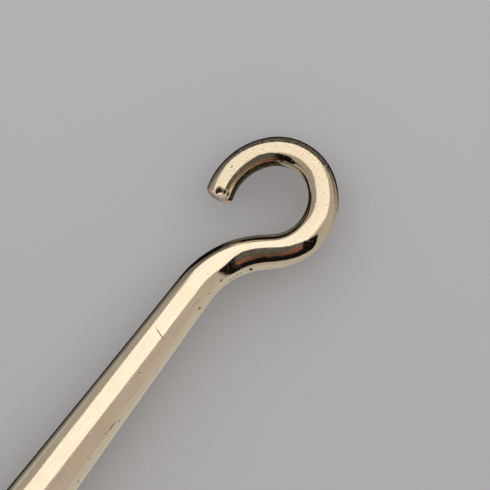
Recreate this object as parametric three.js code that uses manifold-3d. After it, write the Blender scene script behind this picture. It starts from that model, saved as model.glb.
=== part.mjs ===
// A hooked hive tool. A forged hook bar and a spring-steel scraper plate are clamped one on top of
// the other between two hardwood scales, with a ferrule round the hook end and a pair of bolsters
// at the scraper end.
//
// Millimetres. +X runs from the scraper towards the hook and +Z is up with the tool lying flat. The
// origin is on the flat land under the lower scale, which the tool rests on, midway between the
// front and middle screws. Every piece is drawn about the tool's middle plane, and the whole group
// is then lifted by half the handle's thickness.
import * as THREE from "three";
import { mergeVertices } from "three/addons/utils/BufferGeometryUtils.js";
import Module from "manifold-3d";

const wasm = await Module();
wasm.setup();

// Driving dimensions -----------------------------------------------------------------------------

const GAP = 0.1; // between two pieces that meet

// Handle: a barrel of rounded-rectangle section, nearly round at both ends and widest in the
// middle.
const HANDLE_REAR = -58;
const HANDLE_FRONT = 30;
const HALF_THICKNESS = 12;
const END_HALF_WIDTH = 12.2;
const PALM_SWELL = 3.4;
const END_CORNER = 11.8;
const CORNER_SHARPENING = 2.6; // how much smaller the corner radius is at the widest place
const TENON_FRONT = 38;
const TENON_RADIUS = 10;

// Scraper plate, which runs the whole length of the handle and out of its rear end.
const PLATE_THICKNESS = 3;
const PLATE_FRONT = 37.8;
const PLATE_TENON_HALF = 9.3;
const NECK_X = -70;
const NECK_HALF = 9.6;
const FLARE_LENGTH = 24;
const BLADE_HALF = 20.5;
const BLADE_EDGE_X = -132;
const BLADE_CORNER = 2;
const BEVEL_LENGTH = 14;
const EDGE_THICKNESS = 0.6;
const NAIL_SLOT = { x: -108, radius: 4.3, tipX: -94, tipRadius: 1.5 };

// Hook bar: a round bar that tapers all the way to its blunt tip. Its centreline lies in the middle
// plane and is a chain of legs, each a straight or an arc with its turn in degrees, anticlockwise
// positive.
const SHOULDER_X = 38.2;
const STRAIGHT_LENGTH = 92.8;
const ROOT_DIAMETER = 17.3;
const TIP_DIAMETER = 8;
const TAPER_POWER = 1.6;
const TIP_DOME = 0.8; // depth of the tip's dome as a share of its radius
const NECK_BEND = { radius: 25.4, turn: -47.6 };
const NECK_STRAIGHT = 4.2;
const HOOK_BENDS = [
  { radius: 14.8, turn: 102.8 },
  { radius: 12.6, turn: 80.8 },
  { radius: 18, turn: 59.7 },
];
const TANG = { rear: -50, halfWidth: 7, thickness: 4.8 };

// Ferrule and bolsters.
const FERRULE = { front: 44, bore: 8.9, outer: 11.9, nose: 10.4 };
const BOLSTER = { rear: -68, halfThickness: 5.5, corner: 4.8 };

// Fasteners.
const SCREW_X = { front: 14, middle: -14, rear: -42 };
const SCREW = { headRadius: 4.2, headHeight: 1.8, radius: 1.9, recess: 0.5, slot: 1, length: 13 };
const NUT = { radius: 3, bore: 2.1, recess: 0.6, top: 7, boreDepth: 11 };
const FERRULE_PIN = { x: 34, radius: 1.25 };
const BOLSTER_PIN = { x: -63, y: 5, radius: 1.4, half: 9.4 };

// Tools for making solids ------------------------------------------------------------------------

// A closed geometry as a manifold-3d solid.
function solidOf(geometry) {
  const open = geometry.index ? geometry.toNonIndexed() : geometry;
  const bare = new THREE.BufferGeometry().setAttribute("position", open.getAttribute("position"));
  const merged = mergeVertices(bare, 1e-4);
  return new wasm.Manifold(
    new wasm.Mesh({
      numProp: 3,
      vertProperties: merged.attributes.position.array,
      triVerts: new Uint32Array(merged.index.array),
    }),
  );
}

function geometryOf(solid) {
  const made = solid.getMesh();
  const geometry = new THREE.BufferGeometry();
  geometry.setAttribute("position", new THREE.BufferAttribute(new Float32Array(made.vertProperties), 3));
  geometry.setIndex(new THREE.BufferAttribute(new Uint32Array(made.triVerts), 1));
  const faceted = geometry.toNonIndexed();
  faceted.computeVertexNormals();
  return faceted;
}

// A skin over rings of equally many points, closed by a flat face at each end. Each ring runs
// anticlockwise seen from the ring that follows it.
function loft(rings) {
  const count = rings[0].length;
  const centre = (ring) => ring.reduce((sum, p) => sum.add(p), new THREE.Vector3()).divideScalar(count);
  const points = [...rings.flat(), centre(rings[0]), centre(rings.at(-1))];
  const first = rings.length * count;
  const faces = [];
  for (let i = 0; i < count; i++) {
    const j = (i + 1) % count;
    for (let r = 0; r < rings.length - 1; r++) {
      const low = r * count;
      const high = low + count;
      faces.push(low + i, low + j, high + j, low + i, high + j, high + i);
    }
    const last = (rings.length - 1) * count;
    faces.push(first, j, i, first + 1, last + i, last + j);
  }
  const geometry = new THREE.BufferGeometry().setFromPoints(points);
  geometry.setIndex(faces);
  return solidOf(geometry);
}

function box(x, y, z) {
  const geometry = new THREE.BoxGeometry(x[1] - x[0], y[1] - y[0], z[1] - z[0]);
  geometry.translate((x[0] + x[1]) / 2, (y[0] + y[1]) / 2, (z[0] + z[1]) / 2);
  return solidOf(geometry);
}

// A solid of revolution about Z, from [radius, height] pairs that start and end on the axis or close
// on themselves.
function turned(profile, sides = 32) {
  const geometry = new THREE.LatheGeometry(
    profile.map(([r, z]) => new THREE.Vector2(r, z)),
    sides,
  );
  return solidOf(geometry.rotateX(Math.PI / 2));
}

// The same about X, with distances along +X in place of heights.
function turnedAlongX(profile, sides = 40) {
  const geometry = new THREE.LatheGeometry(
    profile.map(([r, x]) => new THREE.Vector2(r, x)),
    sides,
  );
  return solidOf(geometry.rotateZ(-Math.PI / 2));
}

function rod(x, y, radius, low, high, sides = 32) {
  const profile = [
    [0, low],
    [radius, low],
    [radius, high],
    [0, high],
  ];
  return turned(profile, sides).translate([x, y, 0]);
}

const cutAll = (solid, cutters) => cutters.reduce((left, cutter) => left.subtract(cutter), solid);

// Handle -----------------------------------------------------------------------------------------

// 0 at both ends of the handle and 1 half way along it.
const swellAt = (x) => Math.sin((Math.PI * (HANDLE_FRONT - x)) / (HANDLE_FRONT - HANDLE_REAR));
const handleHalfWidth = (x) => END_HALF_WIDTH + PALM_SWELL * swellAt(x);

// A rounded rectangle across the tool at x, anticlockwise seen from +X.
function section(x, halfWidth, halfThickness, corner, steps = 6) {
  const ring = [];
  for (const [quarter, sy, sz] of [
    [0, 1, 1],
    [1, -1, 1],
    [2, -1, -1],
    [3, 1, -1],
  ]) {
    for (let i = 0; i <= steps; i++) {
      const angle = (Math.PI / 2) * (quarter + i / steps);
      ring.push(
        new THREE.Vector3(
          x,
          sy * (halfWidth - corner) + corner * Math.cos(angle),
          sz * (halfThickness - corner) + corner * Math.sin(angle),
        ),
      );
    }
  }
  return ring;
}

function handleBlank() {
  const stations = 14;
  const rings = [];
  for (let i = 0; i <= stations; i++) {
    const x = HANDLE_REAR + ((HANDLE_FRONT - HANDLE_REAR) * i) / stations;
    rings.push(section(x, handleHalfWidth(x), HALF_THICKNESS, END_CORNER - CORNER_SHARPENING * swellAt(x)));
  }
  const tenon = turnedAlongX([
    [0, HANDLE_FRONT - 1],
    [TENON_RADIUS, HANDLE_FRONT - 1],
    [TENON_RADIUS, TENON_FRONT],
    [0, TENON_FRONT],
  ]);
  return loft(rings).add(tenon);
}

const PLATE_FACE = PLATE_THICKNESS / 2;
const TANG_BOTTOM = PLATE_FACE + GAP;
const TANG_TOP = TANG_BOTTOM + TANG.thickness;
const FAR = 200;

const pinHole = (low, high) => rod(FERRULE_PIN.x, 0, FERRULE_PIN.radius + GAP, low, high, 20);
const barrelHole = (x, low, high) => rod(x, 0, NUT.radius + GAP, low, high);

function lowerScale() {
  const half = handleBlank().intersect(box([-FAR, FAR], [-FAR, FAR], [-FAR, -PLATE_FACE - GAP]));
  const floor = -HALF_THICKNESS + NUT.recess + SCREW.headHeight + GAP;
  const cutters = [pinHole(-FAR, 0)];
  for (const x of Object.values(SCREW_X)) {
    cutters.push(rod(x, 0, SCREW.headRadius + GAP, -FAR, floor), barrelHole(x, -FAR, 0));
  }
  return cutAll(half, cutters);
}

function upperScale() {
  const half = handleBlank().intersect(box([-FAR, FAR], [-FAR, FAR], [PLATE_FACE + GAP, FAR]));
  const groove = box(
    [TANG.rear - GAP, FAR],
    [-TANG.halfWidth - GAP, TANG.halfWidth + GAP],
    [0, TANG_TOP + GAP],
  );
  const seat = HALF_THICKNESS - SCREW.recess - SCREW.headHeight - GAP;
  const cutters = [groove, pinHole(0, FAR)];
  for (const x of Object.values(SCREW_X)) {
    cutters.push(
      rod(x, 0, SCREW.headRadius + GAP, seat, FAR),
      rod(x, 0, SCREW.radius + GAP, 0, FAR),
      barrelHole(x, 0, NUT.top + GAP),
    );
  }
  return cutAll(half, cutters);
}

// Scraper plate ----------------------------------------------------------------------------------

const smoothstep = (t) => t * t * (3 - 2 * t);

function plateHalfWidth(x) {
  if (x > HANDLE_FRONT - GAP) return PLATE_TENON_HALF;
  if (x > HANDLE_REAR) return handleHalfWidth(x);
  if (x > NECK_X) {
    const share = (HANDLE_REAR - x) / (HANDLE_REAR - NECK_X);
    return THREE.MathUtils.lerp(END_HALF_WIDTH, NECK_HALF, smoothstep(share));
  }
  const flare = Math.min(1, (NECK_X - x) / FLARE_LENGTH);
  return THREE.MathUtils.lerp(NECK_HALF, BLADE_HALF, smoothstep(flare));
}

function plateOutline() {
  const side = [
    new THREE.Vector2(PLATE_FRONT, PLATE_TENON_HALF),
    new THREE.Vector2(HANDLE_FRONT, PLATE_TENON_HALF),
  ];
  const addStations = (from, to, steps) => {
    for (let i = 0; i <= steps; i++) {
      const x = from + ((to - from) * i) / steps;
      side.push(new THREE.Vector2(x, plateHalfWidth(x)));
    }
  };
  addStations(HANDLE_FRONT - 2 * GAP, HANDLE_REAR, 14);
  addStations(HANDLE_REAR - 2, NECK_X, 4);
  addStations(NECK_X - 2, NECK_X - FLARE_LENGTH, 10);
  for (let i = 0; i <= 4; i++) {
    const angle = (Math.PI / 8) * i;
    side.push(
      new THREE.Vector2(
        BLADE_EDGE_X + BLADE_CORNER - BLADE_CORNER * Math.sin(angle),
        BLADE_HALF - BLADE_CORNER + BLADE_CORNER * Math.cos(angle),
      ),
    );
  }
  const mirrored = side.map((p) => new THREE.Vector2(p.x, -p.y)).reverse();
  return new THREE.Shape([...side, ...mirrored]);
}

// A teardrop: the nail's head goes in at the round end and its shank is caught in the narrow one.
function nailSlot() {
  const { x, radius, tipX, tipRadius } = NAIL_SLOT;
  const lean = Math.acos((radius - tipRadius) / (tipX - x));
  const slot = new THREE.Path();
  slot.absarc(x, 0, radius, lean, 2 * Math.PI - lean, false);
  slot.absarc(tipX, 0, tipRadius, -lean, lean, false);
  slot.closePath();
  return slot;
}

function scraperPlate() {
  const shape = plateOutline();
  shape.holes.push(nailSlot());
  const blank = new THREE.ExtrudeGeometry(shape, {
    depth: PLATE_THICKNESS,
    bevelEnabled: false,
    curveSegments: 12,
  });
  blank.translate(0, 0, -PLATE_FACE);

  // The ground bevel: what lies above a plane from the full thickness down to the cutting edge.
  const fall = PLATE_THICKNESS - EDGE_THICKNESS;
  const over = 1;
  const waste = new THREE.Shape([
    new THREE.Vector2(BLADE_EDGE_X + BEVEL_LENGTH, PLATE_FACE),
    new THREE.Vector2(BLADE_EDGE_X + BEVEL_LENGTH, PLATE_FACE + over),
    new THREE.Vector2(BLADE_EDGE_X - over, PLATE_FACE + over),
    new THREE.Vector2(BLADE_EDGE_X - over, PLATE_FACE - fall * (1 + over / BEVEL_LENGTH)),
  ]);
  const wedge = new THREE.ExtrudeGeometry(waste, { depth: 2 * FAR, bevelEnabled: false });
  wedge.translate(0, 0, -FAR).rotateX(Math.PI / 2);

  const cutters = [solidOf(wedge), pinHole(-FAR, FAR)];
  for (const x of Object.values(SCREW_X)) cutters.push(barrelHole(x, -FAR, FAR));
  for (const y of [-BOLSTER_PIN.y, BOLSTER_PIN.y]) {
    cutters.push(rod(BOLSTER_PIN.x, y, BOLSTER_PIN.radius + GAP, -FAR, FAR, 20));
  }
  return cutAll(solidOf(blank), cutters);
}

// Hook bar ---------------------------------------------------------------------------------------

const radians = THREE.MathUtils.degToRad;

const arcLeg = ({ radius, turn }) => ({ length: radius * Math.abs(radians(turn)), turn: radians(turn) });
const LEGS = [
  { length: STRAIGHT_LENGTH, turn: 0 },
  arcLeg(NECK_BEND),
  { length: NECK_STRAIGHT, turn: 0 },
  ...HOOK_BENDS.map(arcLeg),
];
const BAR_LENGTH = LEGS.reduce((sum, leg) => sum + leg.length, 0);

function barRadius(fromRoot) {
  const share = (BAR_LENGTH - fromRoot) / BAR_LENGTH;
  return (TIP_DIAMETER + (ROOT_DIAMETER - TIP_DIAMETER) * share ** TAPER_POWER) / 2;
}

// Places along the centreline, each with its distance from the shoulder and its heading.
function barStations() {
  const degreesPerStep = radians(8);
  const straightStep = 9;
  let at = { x: SHOULDER_X, y: 0, heading: 0, distance: 0 };
  const stations = [at];
  for (const { length, turn } of LEGS) {
    const steps = Math.ceil(turn ? Math.abs(turn) / degreesPerStep : length / straightStep);
    const bend = turn / steps;
    const chord = bend ? (length / turn) * 2 * Math.sin(bend / 2) : length / steps;
    for (let i = 0; i < steps; i++) {
      at = {
        x: at.x + chord * Math.cos(at.heading + bend / 2),
        y: at.y + chord * Math.sin(at.heading + bend / 2),
        heading: at.heading + bend,
        distance: at.distance + length / steps,
      };
      stations.push(at);
    }
  }
  return stations;
}

// A circle across the bar, carried forward along its heading.
function barRing({ x, y, heading }, radius, forward = 0, sides = 24) {
  const along = new THREE.Vector3(Math.cos(heading), Math.sin(heading), 0);
  const up = new THREE.Vector3(0, 0, 1);
  const side = along.clone().cross(up);
  const centre = new THREE.Vector3(x, y, 0).addScaledVector(along, forward);
  return Array.from({ length: sides }, (_, i) => {
    const angle = (2 * Math.PI * i) / sides;
    return centre
      .clone()
      .addScaledVector(up, radius * Math.cos(angle))
      .addScaledVector(side, radius * Math.sin(angle));
  });
}

function hookBar() {
  const stations = barStations();
  const rings = stations.map((at) => barRing(at, barRadius(at.distance)));
  const tip = stations.at(-1);
  const domeSteps = 5;
  for (let i = 1; i < domeSteps; i++) {
    const angle = (Math.PI / 2) * (i / domeSteps);
    const radius = TIP_DIAMETER / 2;
    rings.push(barRing(tip, radius * Math.cos(angle), TIP_DOME * radius * Math.sin(angle)));
  }
  const intoShank = 4;
  const tang = box(
    [TANG.rear, SHOULDER_X + intoShank],
    [-TANG.halfWidth, TANG.halfWidth],
    [TANG_BOTTOM, TANG_TOP],
  ).intersect(
    // Only what lies inside the shank runs on past the shoulder.
    box([-FAR, SHOULDER_X], [-FAR, FAR], [-FAR, FAR]).add(
      turnedAlongX([
        [0, SHOULDER_X - 1],
        [TANG_TOP, SHOULDER_X - 1],
        [TANG_TOP, SHOULDER_X + intoShank],
        [0, SHOULDER_X + intoShank],
      ]),
    ),
  );
  const cutters = [pinHole(-FAR, FAR)];
  for (const x of Object.values(SCREW_X)) cutters.push(barrelHole(x, -FAR, FAR));
  return cutAll(loft(rings).add(tang), cutters);
}

// Ferrule and bolsters ---------------------------------------------------------------------------

function frontFerrule() {
  const { front, bore, outer, nose } = FERRULE;
  const rear = HANDLE_FRONT + GAP;
  const cup = TENON_RADIUS + GAP;
  const step = TENON_FRONT + 2 * GAP;
  const ring = turnedAlongX([
    [cup, rear],
    [outer - 0.4, rear],
    [outer, rear + 0.4],
    [outer, rear + 3],
    [outer - 0.5, rear + 3.4],
    [outer - 0.5, rear + 4],
    [outer, rear + 4.4],
    [outer, rear + 8],
    [outer - 0.5, rear + 10.5],
    [nose, front - 1.2],
    [nose - 0.4, front - 0.4],
    [nose - 1, front],
    [bore, front],
    [bore, step],
    [cup, step],
    [cup, rear],
  ]);
  return ring.subtract(pinHole(-FAR, FAR));
}

function bolsterBlank() {
  const rings = [];
  const steps = 6;
  for (let i = steps; i >= 0; i--) {
    const share = i / steps;
    const x = THREE.MathUtils.lerp(HANDLE_REAR - GAP, BOLSTER.rear, share);
    const fall = 1 - Math.cos((Math.PI / 2) * share);
    rings.push(
      section(
        x,
        plateHalfWidth(x),
        THREE.MathUtils.lerp(HALF_THICKNESS, BOLSTER.halfThickness, fall),
        THREE.MathUtils.lerp(END_CORNER, BOLSTER.corner, share ** 0.6),
      ),
    );
  }
  return loft(rings);
}

function bolster(side) {
  const face = PLATE_FACE + GAP;
  const slab = side > 0 ? [face, FAR] : [-FAR, -face];
  const half = bolsterBlank().intersect(box([-FAR, FAR], [-FAR, FAR], slab));
  return cutAll(
    half,
    [-BOLSTER_PIN.y, BOLSTER_PIN.y].map((y) =>
      rod(BOLSTER_PIN.x, y, BOLSTER_PIN.radius + GAP, -FAR, FAR, 20),
    ),
  );
}

// Fasteners --------------------------------------------------------------------------------------

const slotCutter = (x, low, high) => box([x - SCREW.slot / 2, x + SCREW.slot / 2], [-FAR, FAR], [low, high]);

function handleScrew(x) {
  const top = HALF_THICKNESS - SCREW.recess;
  const under = top - SCREW.headHeight;
  const blank = turned([
    [0, under - SCREW.length],
    [SCREW.radius - 0.5, under - SCREW.length],
    [SCREW.radius, under - SCREW.length + 0.6],
    [SCREW.radius, under],
    [SCREW.headRadius, under],
    [SCREW.headRadius, top - 0.3],
    [SCREW.headRadius - 0.3, top],
    [0, top],
  ]);
  return blank.translate([x, 0, 0]).subtract(slotCutter(x, top - 0.9, FAR));
}

function sleeveNut(x) {
  const bottom = -HALF_THICKNESS + NUT.recess;
  const shoulder = bottom + SCREW.headHeight;
  const blank = turned([
    [0, bottom],
    [SCREW.headRadius - 0.3, bottom],
    [SCREW.headRadius, bottom + 0.3],
    [SCREW.headRadius, shoulder],
    [NUT.radius, shoulder],
    [NUT.radius, NUT.top],
    [NUT.bore, NUT.top],
    [NUT.bore, NUT.top - NUT.boreDepth],
    [0, NUT.top - NUT.boreDepth],
  ]);
  return blank.translate([x, 0, 0]).subtract(slotCutter(x, -FAR, bottom + 0.9));
}

// Assembly ---------------------------------------------------------------------------------------

const finish = (color, roughness, metalness) => ({ color, roughness, metalness });
const NICKEL = finish(0xcfc4ae, 0.12, 1);
const SPRING_STEEL = finish(0x8f8d88, 0.35, 1);
const BRASS = finish(0xb9975b, 0.3, 1);
const WALNUT = finish(0x6b4329, 0.55, 0);

const tool = new THREE.Group();
tool.name = "hive_tool";
tool.position.z = HALF_THICKNESS;

function addPiece(name, solid, look) {
  const mesh = new THREE.Mesh(geometryOf(solid), new THREE.MeshStandardMaterial(look));
  mesh.name = name;
  tool.add(mesh);
}

addPiece("hook_bar", hookBar(), NICKEL);
addPiece("scraper_plate", scraperPlate(), SPRING_STEEL);
addPiece("lower_scale", lowerScale(), WALNUT);
addPiece("upper_scale", upperScale(), WALNUT);
addPiece("front_ferrule", frontFerrule(), NICKEL);
const pinHalf = FERRULE.outer - 0.3;
addPiece("ferrule_pin", rod(FERRULE_PIN.x, 0, FERRULE_PIN.radius, -pinHalf, pinHalf, 20), BRASS);
addPiece("upper_bolster", bolster(1), NICKEL);
addPiece("lower_bolster", bolster(-1), NICKEL);
for (const [side, y] of [
  ["left", BOLSTER_PIN.y],
  ["right", -BOLSTER_PIN.y],
]) {
  const { x, radius, half } = BOLSTER_PIN;
  addPiece(`bolster_pin_${side}`, rod(x, y, radius, -half, half, 20), SPRING_STEEL);
}
for (const [place, x] of Object.entries(SCREW_X)) {
  addPiece(`handle_screw_${place}`, handleScrew(x), BRASS);
  addPiece(`sleeve_nut_${place}`, sleeveNut(x), BRASS);
}

export default tool;
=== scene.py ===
"""The looks of a hooked hive tool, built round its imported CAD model.

Shapes are worked out in millimetres about the tool's middle plane, as the CAD model's are, and
then moved into the frame, in metres. +X runs from the scraper blade to the hook.
"""

import math
from contextlib import contextmanager

import bmesh
import bpy
import numpy as np
from mathutils import Matrix, Vector


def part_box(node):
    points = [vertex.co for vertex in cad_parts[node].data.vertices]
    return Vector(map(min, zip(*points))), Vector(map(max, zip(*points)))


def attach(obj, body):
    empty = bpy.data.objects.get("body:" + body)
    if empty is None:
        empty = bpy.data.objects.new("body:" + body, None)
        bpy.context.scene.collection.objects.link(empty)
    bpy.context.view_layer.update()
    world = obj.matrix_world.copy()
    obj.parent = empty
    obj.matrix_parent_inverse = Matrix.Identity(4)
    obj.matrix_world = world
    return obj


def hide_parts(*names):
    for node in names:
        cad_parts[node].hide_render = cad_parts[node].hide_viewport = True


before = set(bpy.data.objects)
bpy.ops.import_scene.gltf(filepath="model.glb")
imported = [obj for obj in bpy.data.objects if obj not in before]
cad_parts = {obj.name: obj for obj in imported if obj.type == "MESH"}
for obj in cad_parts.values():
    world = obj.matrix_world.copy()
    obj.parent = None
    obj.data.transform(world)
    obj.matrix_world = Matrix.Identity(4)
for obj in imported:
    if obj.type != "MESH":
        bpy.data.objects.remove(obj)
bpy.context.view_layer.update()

MM = 0.001
BODY = "root"
FAR = 200.0  # millimetres: further than any part of the tool
SLIVER = 0.002  # millimetres: closer points are one point


def box_mm(node):
    """A CAD node's lowest and highest corners, in millimetres from the tool's middle plane."""
    low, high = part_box(node)
    lift = Vector((0, 0, MIDDLE))
    return (low - lift) / MM, (high - lift) / MM


def middle_of(node):
    """The middle of a CAD node's box in plan, in millimetres."""
    low, high = box_mm(node)
    return (low.x + high.x) / 2, (low.y + high.y) / 2


# Driving dimensions, in millimetres unless they say otherwise ----

MIDDLE = sum(corner.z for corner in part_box("scraper_plate")) / 2  # metres above the frame's z = 0
SCALE_LOW, SCALE_HIGH = box_mm("upper_scale")
PLATE_LOW, PLATE_HIGH = box_mm("scraper_plate")
BAR_REAR = box_mm("hook_bar")[0].x
FERRULE_LOW, FERRULE_HIGH = box_mm("front_ferrule")

GAP = 0.1  # between pieces that touch
HANDLE_REAR = SCALE_LOW.x
HANDLE_FRONT = 30.0
TENON_FRONT = SCALE_HIGH.x
TENON_RADIUS = 10.0
HALF_THICKNESS = SCALE_HIGH.z
END_HALF_WIDTH = 12.2
PALM_SWELL = 3.4
END_CORNER = 11.8
CORNER_SHARPENING = 2.6  # how much smaller the corner is at the palm swell

PLATE_FACE = PLATE_HIGH.z
PLATE_FRONT = PLATE_HIGH.x
PLATE_EDGE = 0.28  # its edges' rounding
PLATE_TENON_HALF = 9.3
BLADE_EDGE_X = PLATE_LOW.x
BLADE_HALF = PLATE_HIGH.y
NECK_X = -70.0
NECK_HALF = 9.6
FLARE_LENGTH = 24.0
BLADE_CORNER = 2.0
BEVEL_LENGTH = 14.0
EDGE_SHARE = 0.2  # of the plate's thickness, left at the cutting edge
NAIL_SLOT = {"x": -108.0, "radius": 4.3, "tip_x": -94.0, "tip_radius": 1.5}

SHOULDER_X = 38.2
ROOT_DIAMETER = 17.3
TIP_DIAMETER = 8.0
TAPER_POWER = 1.6
TIP_LENGTH = 2.5
BAR_HAIR = 0.03  # how far the fine bar's skin is inside the CAD bar's
TANG = {"rear": BAR_REAR, "half": 7.0, "thickness": 4.8}
BAR_LEGS = [  # length, then turn in degrees, anticlockwise positive; where it turns, radius * angle
    (92.8, 0.0),
    (25.4 * math.radians(47.6), -47.6),
    (4.2, 0.0),
    (14.8 * math.radians(102.8), 102.8),
    (12.6 * math.radians(80.8), 80.8),
    (18.0 * math.radians(59.7), 59.7),
]
BAR_LENGTH = sum(length for length, _ in BAR_LEGS)
LOOP_START = sum(length for length, _ in BAR_LEGS[:3])
TIP = BAR_LENGTH

COUNTERSINK = 0.25
SCREW_X = {place: middle_of(f"handle_screw_{place}")[0] for place in ("front", "middle", "rear")}
SCREW_HEAD = 4.2
SCREW_HEAD_HEIGHT = 1.8
SCREW_SLOT = 1.0
SLOT_DEPTH = 0.9
SCREW_RECESS = 0.5
SCREW_SHANK = 1.9
SCREW_LENGTH = 13.0
NUT_RECESS = 0.6
NUT_BARREL = 3.0
NUT_BORE = 2.1
NUT_TOP = 7.0
NUT_BORE_DEPTH = 11.0
FERRULE_PIN_X = middle_of("ferrule_pin")[0]
FERRULE_PIN_RADIUS = 1.25
BOLSTER_PIN_X, BOLSTER_PIN_Y = middle_of("bolster_pin_left")
BOLSTER_PIN_RADIUS = 1.4
PIN_FIT = 0.03  # round a pin in metal
BOLSTER_REAR_HALF = 5.5
BOLSTER_REAR_CORNER = 4.8
FERRULE_OUTER = 11.9
FERRULE_NOSE = 10.4
FERRULE_BORE = 8.9
FERRULE_GROOVE = 0.7
FERRULE_EDGE = 0.55


# Mesh making ----


def make_object(name, vertices, faces):
    mesh = bpy.data.meshes.new(name)
    mesh.from_pydata([tuple(v) for v in vertices], [], faces)
    mesh.update()
    made = bpy.data.objects.new(name, mesh)
    bpy.context.scene.collection.objects.link(made)
    return made


def skin(name, rings, closed=False):
    """A skin over rings of equally many points. Its ends get flat fans, or it closes on itself."""
    count = len(rings[0])
    vertices = [p for ring in rings for p in ring]
    faces = []
    spans = len(rings) if closed else len(rings) - 1
    for r in range(spans):
        low, high = r * count, (r + 1) % len(rings) * count
        for i in range(count):
            j = (i + 1) % count
            faces.append((low + i, low + j, high + j, high + i))
    if not closed:
        for ring_index, flip in ((0, True), (len(rings) - 1, False)):
            centre = len(vertices)
            vertices.append(sum((Vector(p) for p in rings[ring_index]), Vector()) / count)
            base = ring_index * count
            for i in range(count):
                j = (i + 1) % count
                ends = (base + j, base + i) if flip else (base + i, base + j)
                faces.append((centre, *ends))
    return make_object(name, vertices, faces)


def rounded(points, radius, steps=5):
    """A closed outline with every corner rounded as far as its sides allow."""
    out = []
    count = len(points)
    for i in range(count):
        before, here, after = (Vector(points[(i + k) % count]) for k in (-1, 0, 1))
        to_before, to_after = before - here, after - here
        reach = min(radius, 0.45 * to_before.length, 0.45 * to_after.length)
        start = here + to_before.normalized() * reach
        end = here + to_after.normalized() * reach
        for k in range(steps + 1):
            t = k / steps
            out.append((1 - t) ** 2 * start + 2 * t * (1 - t) * here + t**2 * end)
    return out


def circle(x, y, radius, steps=40):
    """Points round a circle in plan."""
    turns = [math.tau * i / steps for i in range(steps)]
    return [(x + radius * math.cos(t), y + radius * math.sin(t)) for t in turns]


def turned(name, profile, sides):
    """A ring of revolution: a closed profile of (radius, distance) turned about the X axis."""
    rings = []
    for c, s in circle(0, 0, 1, sides):
        rings.append([(distance, radius * c, radius * s) for radius, distance in profile])
    return outward(skin(name, rings, closed=True))


def spun(name, profile, sides=96):
    """A solid of revolution about Z, from (radius, height) points that start and end on the axis."""
    rings = []
    for radius, z in profile[1:-1]:
        rings.append([(x, y, z) for x, y in circle(0, 0, radius, sides)])
    return outward(skin(name, rings))


@contextmanager
def editing(mesh):
    """A bmesh made from a mesh, and written back to it at the end."""
    bm = bmesh.new()
    bm.from_mesh(mesh)
    yield bm
    bm.to_mesh(mesh)
    bm.free()


def outward(obj):
    """Turns every face of a closed mesh outwards."""
    with editing(obj.data) as bm:
        bmesh.ops.recalc_face_normals(bm, faces=bm.faces)
    return obj


def cylinder(x, y, radius, low, high, sides=64):
    """An upright round cutter."""
    made = spun("cutter", [(0, low), (radius, low), (radius, high), (0, high)], sides)
    made.data.transform(Matrix.Translation((x, y, 0)))
    return made


def block(x, y, z):
    """A box between pairs of x, y and z."""
    corners = [(a, b, c) for a in x for b in y for c in z]
    faces = [(0, 1, 3, 2), (4, 6, 7, 5), (0, 4, 5, 1), (2, 3, 7, 6), (0, 2, 6, 4), (1, 5, 7, 3)]
    return outward(make_object("cutter", corners, faces))


def carve(obj, cutters):
    """Cuts the cutters out of obj, clears the slivers that this leaves, and removes the cutters."""
    for cutter in cutters:
        cut = obj.modifiers.new("cut", "BOOLEAN")
        cut.operation = "DIFFERENCE"
        cut.solver = "EXACT"
        cut.object = cutter
    carved = obj.evaluated_get(bpy.context.evaluated_depsgraph_get())
    mesh = bpy.data.meshes.new_from_object(carved)
    obj.modifiers.clear()
    obj.data = mesh
    for cutter in cutters:
        bpy.data.objects.remove(cutter)
    with editing(mesh) as bm:
        bmesh.ops.remove_doubles(bm, verts=bm.verts, dist=SLIVER)
        bmesh.ops.dissolve_degenerate(bm, edges=bm.edges, dist=SLIVER)
        bmesh.ops.triangulate(bm, faces=[f for f in bm.faces if len(f.verts) > 4])


def into_frame(mesh):
    """Moves a mesh from millimetres about the middle plane into the frame."""
    mesh.transform(Matrix.Translation((0, 0, MIDDLE)) @ Matrix.Scale(MM, 4))


def stand_for(obj, node, *materials, smooth_angle=40.0):
    """Shows a finished object in place of its CAD node, with the given materials."""
    obj.name = node + "_fine"
    obj.data.name = obj.name
    obj.data.shade_smooth()
    obj.data.set_sharp_from_angle(angle=math.radians(smooth_angle))
    for material in materials:
        obj.data.materials.append(material)
    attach(obj, BODY)
    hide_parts(node)


# Node materials ----


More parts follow.
